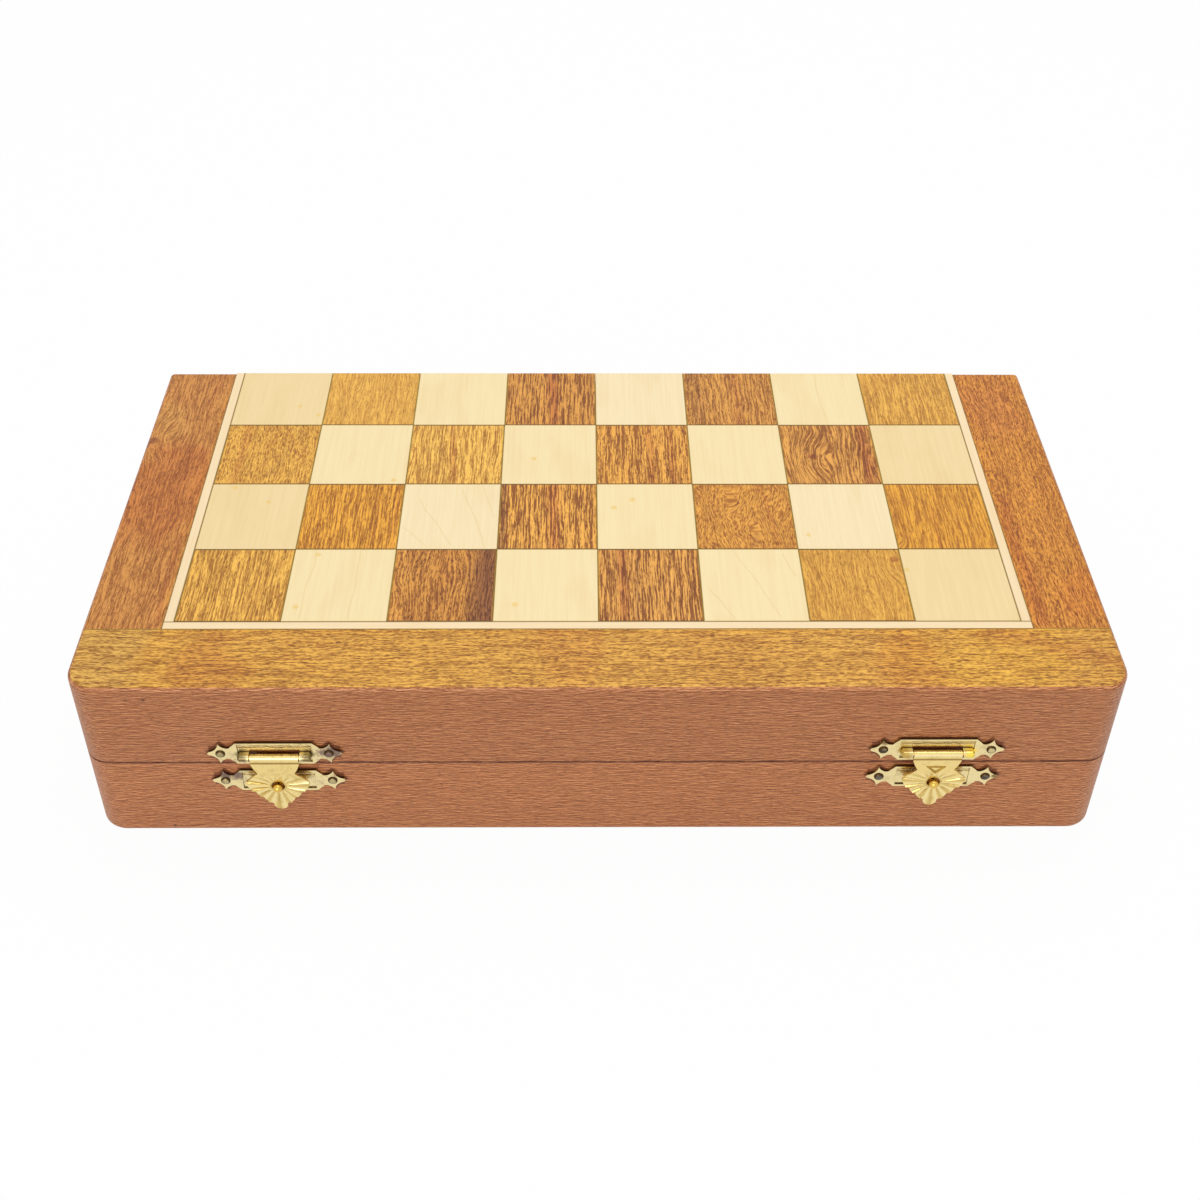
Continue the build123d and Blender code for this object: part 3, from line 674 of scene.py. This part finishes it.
# ---------------------------------------- brass
PALE_BRASS, GOLD_BRASS, DEEP_BRASS = (0.84, 0.69, 0.35), (0.86, 0.66, 0.26), (0.50, 0.33, 0.07)
BROWN_TARNISH, PURPLE_TARNISH, SHADE = (0.24, 0.14, 0.05), (0.20, 0.12, 0.11), (0.07, 0.035, 0.012)
OLIVE, BRIGHT_GOLD, BLACKENED = (0.13, 0.09, 0.035), (0.95, 0.70, 0.08), (0.03, 0.025, 0.02)


def brass_base(t, clean, tarnish, amount, dull_spots=()):
    """Colour and dullness of rolled brass, with dull patches and darker spots at (x, z, radius)."""
    place = t.millimetres()
    mottled = t.noise(place, (0.45, 0.45, 0.45), 4, 0.65)
    dull = t.times(t.step(mottled, -0.02, 0.18), amount)
    if dull_spots:
        shown = front_spots(t, place, t.times(mottled, 2.0), dull_spots)
        dull = t.math("MAXIMUM", dull, t.times(shown, 0.92))
    return place, t.mix(dull, clean, tarnish), dull, mottled


def brass_finish(t, place, colour, dull, relief, rough):
    """Brushed metal, rougher where it is dull."""
    brushed = t.noise(place, (0.5, 3.0, 3.0), 3, 0.7)
    roughness = t.math("ADD", t.times_plus(brushed, 0.14, rough), t.times(dull, 0.22))
    return t.finish(colour, roughness, t.times_plus(brushed, 0.25, relief), 0.12, Metallic=1.0)


def brass_material(name, clean, tarnish, amount, rough):
    """Plain brass of the rods, studs, hinges and the ornament."""
    t = Tree(name)
    place, colour, dull, mottled = brass_base(t, clean, tarnish, amount)
    return brass_finish(t, place, colour, dull, t.times(mottled, 0.5), rough)


# Pressed lines of a stamped plate, above and below its middle, and how far they reach along it.
PRESSED_LINES, PRESSED_END, PRESSED_FADE = (3.3, 2.4, -3.4), 10.4, 0.8
PRESSED_TONE = (0.40, 0.25, 0.06)
# Rod eyes of the lid plate: from the latch's middle, above the rod, and radius.
EYE_REACH, EYE_LIFT, EYE_RADIUS = 9.8, 0.3, 1.6


def plate_material(side, tarnish, amount, dull_spots, eyes):
    """Stamped plate: painted shade on its upper ledge, pressed lines along its long edges, and stained or
    bright eyes.
    """
    t = Tree(f"plate_{side}")
    place, colour, dull, mottled = brass_base(t, PALE_BRASS, tarnish, amount, dull_spots)
    x, y, z = t.split(place)
    latch_x, *plate_zs, rod_z = latch_places(side)
    across = t.apart(x, latch_x)
    line = 0.0
    for plate_z in plate_zs:
        up = t.minus(z, plate_z)
        for height in PRESSED_LINES:
            wavy = t.math("ADD", t.minus(up, height), t.times(mottled, 1.2))
            line = t.math("MAXIMUM", line, t.step(t.math("ABSOLUTE", wavy), 0.45, 0.12))
    line = t.times(line, t.step(across, PRESSED_END + PRESSED_FADE, PRESSED_END))
    colour = t.mix(t.times(line, 0.80), colour, PRESSED_TONE)
    for way, tone in zip((-1, 1), eyes):
        centre = (latch_x + way * EYE_REACH, rod_z + EYE_LIFT, EYE_RADIUS)
        eye = front_spots(t, place, 0.0, [centre], (0.55, 0, 0.9))
        colour = t.mix(t.times(eye, 0.9), colour, tone)
    # Painted shade on the upward-facing ledge of the plate's edge.
    ledge = t.times(t.step(t.split(t.coords.outputs["Normal"])[2], 0.45, 0.85),
                   t.step(y, FRONT_Y - PLATE - 0.1, FRONT_Y - PLATE + 0.05))
    colour = t.mix(t.times(ledge, 0.9), colour, SHADE)
    relief = t.minus(t.times(mottled, 0.6), t.times(line, 0.8))
    return brass_finish(t, place, colour, dull, relief, 0.26)


# Flutes to a full turn, radius of the dark ring at the hole, and the lines of painted shade below and painted
# highlight above the rod.
FLUTES, HOLE_RING = 15.0, 2.3
CREASE_DROP, GLINT_RISE = 1.25, 0.35
# Dull brass, painted highlight on the flutes' ridges, painted shade under the rolled edge, painted highlight
# along it, and painted shade above it.
HASP_DULL, FLUTE_HIGHLIGHT, CREASE_SHADE = (0.46, 0.34, 0.12), (0.93, 0.78, 0.42), (0.28, 0.15, 0.03)
GLINT_HIGHLIGHT, CURL_SHADE = (0.97, 0.88, 0.60), (0.20, 0.11, 0.02)


def hasp_material(side, turned):
    """Stamped hasp: flutes that fan out from the stud's hole, with painted shade in their valleys and painted
    highlight on their ridges, a line of painted shade under the rolled edge, a painted highlight along it,
    and painted shade above it.
    """
    t = Tree(f"hasp_{side}")
    place, colour, dull, mottled = brass_base(t, GOLD_BRASS, HASP_DULL, 0.35)
    x, _, z = t.split(place)
    latch_x, _, catch_z, rod_z = latch_places(side)
    out_x, out_z = t.minus(x, latch_x), t.minus(z, catch_z)
    angle = t.math("ADD", t.math("ARCTAN2", out_x, out_z), t.times(mottled, 0.15))
    wave = t.math("SINE", t.times_plus(angle, FLUTES, turned))
    radius = t.math("SQRT", t.math("ADD", t.times(out_x, out_x), t.times(out_z, out_z)))
    shown = t.times(t.step(radius, 2.1, 3.6), t.step(out_z, 4.6, 2.6))
    # Painted shade in the flutes' valleys and painted highlight on their ridges.
    valley = t.times(t.step(wave, 0.1, -0.9), shown)
    ridge = t.times(t.step(wave, 0.2, 1.0), shown)
    colour = t.mix(t.times(valley, 0.55), colour, DEEP_BRASS)
    colour = t.mix(t.times(ridge, 0.5), colour, FLUTE_HIGHLIGHT)
    rim = t.step(t.apart(radius, HOLE_RING), 0.5, 0.1)
    colour = t.mix(t.times(rim, 0.5), colour, DEEP_BRASS)
    from_rod = t.minus(z, rod_z)
    # Painted shade in a line under the rolled edge.
    crease_shade = t.step(t.apart(from_rod, -CREASE_DROP), 0.55, 0.2)
    colour = t.mix(t.times(crease_shade, 0.85), colour, CREASE_SHADE)
    # Painted highlight along the rolled edge.
    glint = t.step(t.apart(from_rod, GLINT_RISE), 0.45, 0.1)
    colour = t.mix(t.times(glint, 0.5), colour, GLINT_HIGHLIGHT)
    # Painted shade above the rolled edge.
    rolled_back_shade = t.step(from_rod, 1.0, 1.35)
    colour = t.mix(t.times(rolled_back_shade, 0.85), colour, CURL_SHADE)
    fluted = t.times(t.times(wave, shown), 0.8)
    relief = t.math("ADD", t.times(mottled, 0.4), fluted)
    return brass_finish(t, place, colour, dull, relief, 0.24)


NAIL_RING = 1.5    # radius at which a nail head meets its plate


def nail_places(plate_node):
    """(x, z) of the two nails of a plate."""
    low, high = box_mm(plate_node)
    middle = (low + high) / 2
    return [(middle.x + way * NAIL_SPACING / 2, middle.z) for way in (-1, 1)]


def nail_material(name, clean, tarnish, amount, plate_node, dull_spots):
    """Nail head with a ring of painted shade where it meets its plate."""
    t = Tree(name)
    place, colour, dull, mottled = brass_base(t, clean, tarnish, amount, dull_spots)
    inside = front_spots(t, place, 0.0, [(x, z, NAIL_RING) for x, z in nail_places(plate_node)])
    # Painted shade in a ring where the head meets the plate.
    colour = t.mix(t.step(inside, 0.75, 0.25), colour, SHADE)
    return brass_finish(t, place, colour, dull, mottled, 0.28)


# ---------------------------------------- pieces that only this script adds
def new_piece(name, work, material, body):
    """The mesh becomes an object that rides on a body of the frame."""
    mesh = bpy.data.meshes.new(name)
    bmesh.ops.recalc_face_normals(work, faces=work.faces)
    work.to_mesh(mesh)
    work.free()
    mesh.materials.append(material)
    piece = linked(name, mesh)
    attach(piece, body)


HEAD_SEGMENTS = 24


def lathe(work, profile, place):
    """A closed turned form; profile points are (radius, height) in mm, from the axis round to the axis."""
    rings = []
    for radius, height in profile:
        ring = []
        for i in range(HEAD_SEGMENTS if radius else 1):
            turn = 2 * math.pi * i / HEAD_SEGMENTS
            point = Vector((radius * math.cos(turn), radius * math.sin(turn), height))
            ring.append(work.verts.new(place @ (point * MM)))
        rings.append(ring)
    for low, high in zip(rings, rings[1:]):
        for i in range(HEAD_SEGMENTS):
            j = (i + 1) % HEAD_SEGMENTS
            corners = [low[i % len(low)], low[j % len(low)], high[j % len(high)], high[i % len(high)]]
            face = work.faces.new(list(dict.fromkeys(corners)))
            face.smooth = True


# Domed nail head on its shank: radius and height above the plate's face.
NAIL_PROFILE = (
    (0.0, -PLATE), (0.5, -PLATE), (0.5, 0.0), (1.42, 0.0), (1.46, 0.10), (1.36, 0.26),
    (1.22, 0.30), (1.10, 0.42), (0.72, 0.58), (0.34, 0.64), (0.0, 0.66),
)


def plate_nails(side, half, node, material):
    """Two domed nails, one in the middle of each flower end of the plate."""
    work = bmesh.new()
    for x, z in nail_places(node):
        centre = Vector((x, FRONT_Y - PLATE, z)) * MM
        lathe(work, NAIL_PROFILE, Matrix.Translation(centre) @ Matrix.Rotation(math.pi / 2, 4, "X"))
    new_piece(f"{side}_{half}_plate_nails", work, material, half)


SCREW_RADIUS, SCREW_FOOT, SLOT_HALF, SLOT_DEPTH = 1.62, 0.78, 0.22, 0.35
SCREW_FROM_EDGE = 3.1
HALF_DISC_SEGMENTS = 12


def leaf_screws(side, half, material):
    """Two slotted countersunk screws, their heads flush with the leaf's open face."""
    low, high = box_mm(f"{side}_hinge_{half}_leaf")
    up = 1 if half == "base" else -1
    face_z = PARTING_Z - up * LEAF_FROM_PARTING
    middle_x, screw_y = (low.x + high.x) / 2, low.y + SCREW_FROM_EDGE
    work = bmesh.new()
    for way in (-1, 1):
        centre = Vector((middle_x + way * LEAF_SCREW_SPACING / 2, screw_y, face_z)) * MM
        place = Matrix.Translation(centre) @ Matrix.Diagonal((1, 1, up, 1))
        slotted_head(work, place)
    new_piece(f"{side}_{half}_hinge_screws", work, material, half)


def slotted_head(work, place):
    """A countersunk head as two half discs above a cone, with the slot left open between them."""
    def radius_at(depth):
        """Radius of the cone at this depth below the head's face."""
        return SCREW_RADIUS + (SCREW_FOOT - SCREW_RADIUS) * depth / LEAF

    slot_floor = (radius_at(SLOT_DEPTH), -SLOT_DEPTH), (0.0, -SLOT_DEPTH)
    lathe(work, ((0.0, -LEAF), (SCREW_FOOT, -LEAF), *slot_floor), place)
    last = HALF_DISC_SEGMENTS
    for way in (-1, 1):
        rings = []
        for depth in (0.0, SLOT_DEPTH):
            radius = radius_at(depth)
            reach = math.acos(SLOT_HALF / radius)
            angles = [-reach + 2 * reach * i / last for i in range(last + 1)]
            points = [(way * radius * math.cos(a), radius * math.sin(a), -depth) for a in angles]
            rings.append([work.verts.new(place @ (Vector(point) * MM)) for point in points])
        top, foot = rings
        work.faces.new(top)
        work.faces.new(foot[::-1])
        for i in range(last + 1):
            j = (i + 1) % (last + 1)
            work.faces.new((top[i], foot[i], foot[j], top[j]))


ORNAMENT_HALF, ORNAMENT_TALL, ORNAMENT_LINE, ORNAMENT_ABOVE_HOLE = 2.9, 3.1, 0.55, 3.9
ORNAMENT_RISE, ORNAMENT_SHOULDER, ORNAMENT_SUNK = 0.26, 0.156, 0.1
MITRE = 2    # a corner's mitre is about twice as long as the line is wide
# Section of the ornament's line: how far in from the outer edge, of its width, and how high.
ORNAMENT_SECTION = (
    (0.0, -ORNAMENT_SUNK), (0.0, ORNAMENT_SHOULDER), (0.35, ORNAMENT_RISE),
    (0.65, ORNAMENT_RISE), (1.0, ORNAMENT_SHOULDER), (1.0, -ORNAMENT_SUNK),
)
RIB_RISE = 0.28


def hasp_ornament(material):
    """A raised triangle outline, pointing down, on the neck of the right hasp."""
    low, high = box_mm("right_latch_hasp")
    stud_low, stud_high = box_mm("right_latch_stud")
    middle_x = (low.x + high.x) / 2
    foot_z = (stud_low.z + stud_high.z) / 2 + ORNAMENT_ABOVE_HOLE
    face_y = low.y + RIB_RISE
    work = bmesh.new()
    corners = ((-ORNAMENT_HALF, ORNAMENT_TALL), (ORNAMENT_HALF, ORNAMENT_TALL), (0.0, 0.0))
    middle = Vector((0.0, ORNAMENT_TALL * 2 / 3))
    rows = []
    for inset, rise in ORNAMENT_SECTION:
        row = []
        for x, z in corners:
            corner = Vector((x, z))
            inward = (middle - corner).normalized()
            point = corner + inward * inset * ORNAMENT_LINE * MITRE
            row.append(work.verts.new(Vector((middle_x + point.x, face_y - rise, foot_z + point.y)) * MM))
        rows.append(row)
    for row, after in zip(rows, rows[1:] + rows[:1]):
        for i in range(len(corners)):
            j = (i + 1) % len(corners)
            work.faces.new((row[i], row[j], after[j], after[i]))
    new_piece("right_hasp_ornament", work, material, "right_hasp")


VELVET_ROUNDING, ROUNDING_SEGMENTS = 1.8, 4
# The rim's edges turn by more than this many radians, and lie this close to the open face in mm.
RIM_ANGLE, RIM_REACH = 1.0, 0.1
FLAT_ANGLE, SAME_POINT = 0.02, 1e-6


def velvet_bed(half):
    """The foam bed with its velvet skin: the slots' rims and the outer edges are rounded over."""
    node = f"{half}_slotted_bed"
    source = bpy.data.objects[node]
    mesh = source.data.copy()
    piece = linked(f"{half}_velvet_bed", mesh)
    piece.matrix_world = source.matrix_world
    work = bmesh.new()
    work.from_mesh(mesh)
    bmesh.ops.remove_doubles(work, verts=work.verts, dist=SAME_POINT)
    bmesh.ops.dissolve_limit(work, angle_limit=FLAT_ANGLE, verts=work.verts, edges=work.edges)
    low, high = box_mm(node)
    open_z = (low.z if half == "lid" else high.z) * MM
    rim = []
    for edge in work.edges:
        on_open_face = all(abs(vert.co.z - open_z) < RIM_REACH * MM for vert in edge.verts)
        if on_open_face and len(edge.link_faces) == 2 and abs(edge.calc_face_angle(0)) > RIM_ANGLE:
            rim.append(edge)
    bmesh.ops.bevel(work, geom=rim, offset=VELVET_ROUNDING * MM, segments=ROUNDING_SEGMENTS, profile=0.5,
                    affect="EDGES", clamp_overlap=True)
    bmesh.ops.triangulate(work, faces=[face for face in work.faces if len(face.verts) > 4])
    for face in work.faces:
        face.smooth = True
    work.to_mesh(mesh)
    work.free()
    mesh.materials.clear()
    mesh.materials.append(bpy.data.materials["velvet"])
    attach(piece, half)
    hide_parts(node)


# ---------------------------------------- assembly of the looks
def dress(material, *nodes):
    """Give every slot of the named CAD nodes this material."""
    for node in nodes:
        for slot in bpy.data.objects[node].material_slots:
            slot.material = material


def border_looks():
    """Front, left and right border, with their marks placed as the photo shows them."""
    front = border_material(
        "front_border", True, (0.640, 0.303, 0.036), (0.35, 0.12, 0.80),
        streaks=(("red", 0.55, 4.5, (113.0, -52.0), (154.0, -66.0)),
                 ("brown", 0.35, 2.0, (-124.0, -68.5), (-90.0, -70.0)),
                 ("pale", 0.35, 3.0, (60.0, -56.0), (120.0, -70.0))),
        patches=((-113.0, -65.0, 12.0, (0.92, 0.80, 0.76), 0.8), (-8.0, -63.0, 14.0, (0.94, 0.84, 0.80), 0.7),
                 (90.0, -69.0, 12.0, (0.95, 0.82, 0.75), 0.8), (-144.0, -61.0, 16.0, (0.90, 0.98, 1.35), 0.8),
                 (35.0, -66.0, 15.0, (0.92, 0.86, 0.82), 0.6), (112.0, -62.0, 30.0, (1.04, 1.06, 0.80), 0.8)),
        specks=((-130.0, 58.4, 0.8), (-129.4, 2.3, 0.8)),
    )
    left = border_material(
        "left_border", False, (0.545, 0.214, 0.037), (0.32, 0.12, 0.35),
        streaks=(("red", 0.45, 1.6, (-134.5, 75.0), (-135.0, 56.0)),
                 ("pale", 0.50, 0.6, (-147.0, 20.0), (-147.0, -50.0)),
                 ("pale", 0.45, 0.6, (-143.0, 30.0), (-143.2, -50.0)),
                 ("red", 0.60, 1.2, (-131.5, -10.0), (-131.3, -51.0))),
        patches=((-146.0, 45.0, 9.0, (1.08, 1.22, 1.30), 0.8), (-141.0, 8.0, 24.0, (0.92, 0.74, 0.66), 0.9)),
        knots=((-151.0, 37.0, 2.4),),
    )
    right = border_material(
        "right_border", False, (0.605, 0.226, 0.0235), (0.30, 0.25, 0.75),
        streaks=(("red", 0.70, 3.2, (132.0, 8.0), (132.5, -51.0)),
                 ("pale", 0.40, 0.6, (134.0, 76.0), (146.0, 45.0)),
                 ("red", 0.35, 0.8, (138.0, 76.0), (150.0, 45.0))),
        patches=((140.0, 62.0, 20.0, (0.90, 0.80, 1.10), 0.8), (147.0, -40.0, 12.0, (0.98, 0.84, 0.80), 0.7)),
    )
    return front, left, right


def wood_looks():
    """Timber, maple and velvet for both halves."""
    front, left, right = border_looks()
    side_line = stringing_material("line_y", False)
    looks = {
        "front_rail": front,
        "left_rail": left,
        "right_rail": right,
        "back_rail": plain_timber("back_rail", (0.47, 0.195, 0.070)),
        "ground_panel": plain_timber("ply", (0.70, 0.52, 0.30)),
        "front_stringing": stringing_material("line_x", True),
        "left_stringing": side_line,
        "right_stringing": side_line,
        "slotted_bed": velvet_material("velvet"),
        "felt": velvet_material("felt"),
    }
    for part, look in looks.items():
        dress(look, *(f"{half}_{part}" for half in HALVES))
    dress(dark_square_material("dark_squares_lid", 0.0, DARK_STREAKS, KNOTS), "lid_dark_squares")
    dress(dark_square_material("dark_squares_base", BASE_SHIFT, BASE_STREAKS), "base_dark_squares")
    dress(light_square_material("light_squares_lid", 0.0, GROWTH_LINES, STAINS), "lid_light_squares")
    dress(light_square_material("light_squares_base", BASE_SHIFT, BASE_GROWTH_LINES), "base_light_squares")


def brass_looks():
    """Brass for both sides; the dull spots are placed at the latches as the photo shows them."""
    left_x, left_z, left_catch_z, _ = latch_places("left")
    right_x, right_z, right_catch_z, _ = latch_places("right")
    nail_reach = NAIL_SPACING / 2
    left_spots = (
        (left_x + nail_reach + 0.6, left_z + 0.4, 4.4),
        (left_x - nail_reach + 0.5, left_catch_z + 2.6, 2.6),
        (left_x - 12.0, left_catch_z + 2.6, 3.0),
    )
    right_spots = (
        (right_x - nail_reach, right_z + 3.6, 1.8),
        (right_x + nail_reach + 3, right_catch_z, 1.6),
    )
    plates = {
        "left": plate_material("left", PURPLE_TARNISH, 0.40, left_spots, (OLIVE, OLIVE)),
        "right": plate_material("right", BROWN_TARNISH, 0.25, right_spots, (DEEP_BRASS, BRIGHT_GOLD)),
    }
    hasps = {"left": hasp_material("left", 0.4), "right": hasp_material("right", 1.6)}
    stud = brass_material("stud", (0.74, 0.48, 0.10), BROWN_TARNISH, 0.25, 0.14)
    hinge = brass_material("hinge", (0.72, 0.55, 0.24), BROWN_TARNISH, 0.30, 0.30)
    left_nail, right_nail = (left_x + nail_reach, left_z, 3.0), (right_x - nail_reach, right_z - 0.3, 3.0)
    nails = {
        ("left", "lid"): ((0.38, 0.31, 0.14), PURPLE_TARNISH, 0.6, (left_nail,)),
        ("left", "base"): ((0.48, 0.39, 0.19), BROWN_TARNISH, 0.5, ()),
        ("right", "lid"): ((0.60, 0.50, 0.25), BLACKENED, 0.4, (right_nail,)),
        ("right", "base"): ((0.15, 0.125, 0.09), BLACKENED, 0.8, ()),
    }
    for side, plate in plates.items():
        dress(plate, f"{side}_latch_lid_plate", f"{side}_latch_catch_plate")
        dress(hasps[side], f"{side}_latch_hasp")
        dress(stud, f"{side}_latch_rod", f"{side}_latch_stud")
        dress(hinge, *(f"{side}_hinge_{part}" for part in ("base_leaf", "lid_leaf", "pin")))
        for half, node in (("lid", f"{side}_latch_lid_plate"), ("base", f"{side}_latch_catch_plate")):
            clean, tarnish, amount, dull_spots = nails[side, half]
            nail = nail_material(f"nail_{side}_{half}", clean, tarnish, amount, node, dull_spots)
            plate_nails(side, half, node, nail)
            leaf_screws(side, half, hinge)
    hasp_ornament(brass_material("ornament", (0.42, 0.26, 0.05), BROWN_TARNISH, 0.2, 0.3))


# ---------------------------------------- stage and light
FLOOR_SIZE, FLOOR_TONE, FLOOR_GLOW = 6, (0.86, 0.86, 0.86), 0.96
SKY_LIGHT = 0.60
WHITE = (1, 1, 1, 1)
# Square lamps that face the box: name, place and side in metres, and power in watts.
LAMPS = (
    ("overhead", (0.1, 0.15, 1.1), 0.9, 5.9),
    ("front", (-0.30, -1.3, 0.42), 0.8, 4.9),
)


def shows_background(t):
    """1 for the rays that see the background itself: from the camera, in a mirror and through glass."""
    path = t.nodes.new("ShaderNodeLightPath")
    seen = t.math("MAXIMUM", path.outputs["Is Camera Ray"], path.outputs["Is Glossy Ray"])
    return t.math("MAXIMUM", seen, path.outputs["Is Transmission Ray"])


class WorldTree(Tree):
    """The world's node tree with the same short calls."""

    def __init__(self, world):
        world.use_nodes = True
        self.nodes, self.links = world.node_tree.nodes, world.node_tree.links


def floor_plane():
    """A matt floor that takes the box's shadow and glows nearly white where it is seen itself."""
    bpy.ops.mesh.primitive_plane_add(size=FLOOR_SIZE, location=(0, 0, 0))
    floor = bpy.context.object
    floor.name = "floor"
    t = Tree("floor")
    glow = t.nodes.new("ShaderNodeEmission")
    glow.inputs["Color"].default_value = WHITE
    blend = t.nodes.new("ShaderNodeMixShader")
    t.put(FLOOR_TONE, t.shader.inputs["Base Color"])
    t.shader.inputs["Roughness"].default_value = 1.0
    t.shader.inputs["Specular IOR Level"].default_value = 0.0
    t.put(t.times(shows_background(t), FLOOR_GLOW), blend.inputs[0])
    t.links.new(t.shader.outputs[0], blend.inputs[1])
    t.links.new(glow.outputs[0], blend.inputs[2])
    t.links.new(blend.outputs[0], t.nodes["Material Output"].inputs["Surface"])
    floor.data.materials.append(t.material)


def studio():
    """White surroundings, dimmer as a light than as a background, and two lamps."""
    world = bpy.data.worlds.new("studio")
    bpy.context.scene.world = world
    sky = WorldTree(world)
    back = sky.nodes["Background"]
    back.inputs["Color"].default_value = WHITE
    sky.put(sky.step(shows_background(sky), 0.0, 1.0, SKY_LIGHT, 1.0), back.inputs["Strength"])
    for name, place, size, power in LAMPS:
        data = bpy.data.lights.new(name, "AREA")
        data.shape, data.size, data.energy = "SQUARE", size, power
        lamp = linked(name, data)
        lamp.location = place
        lamp.rotation_euler = (-Vector(place)).to_track_quat("-Z", "Y").to_euler()
    bpy.context.scene.view_settings.view_transform = "Standard"


camera()
wood_looks()
brass_looks()
for half in HALVES:
    velvet_bed(half)
floor_plane()
studio()
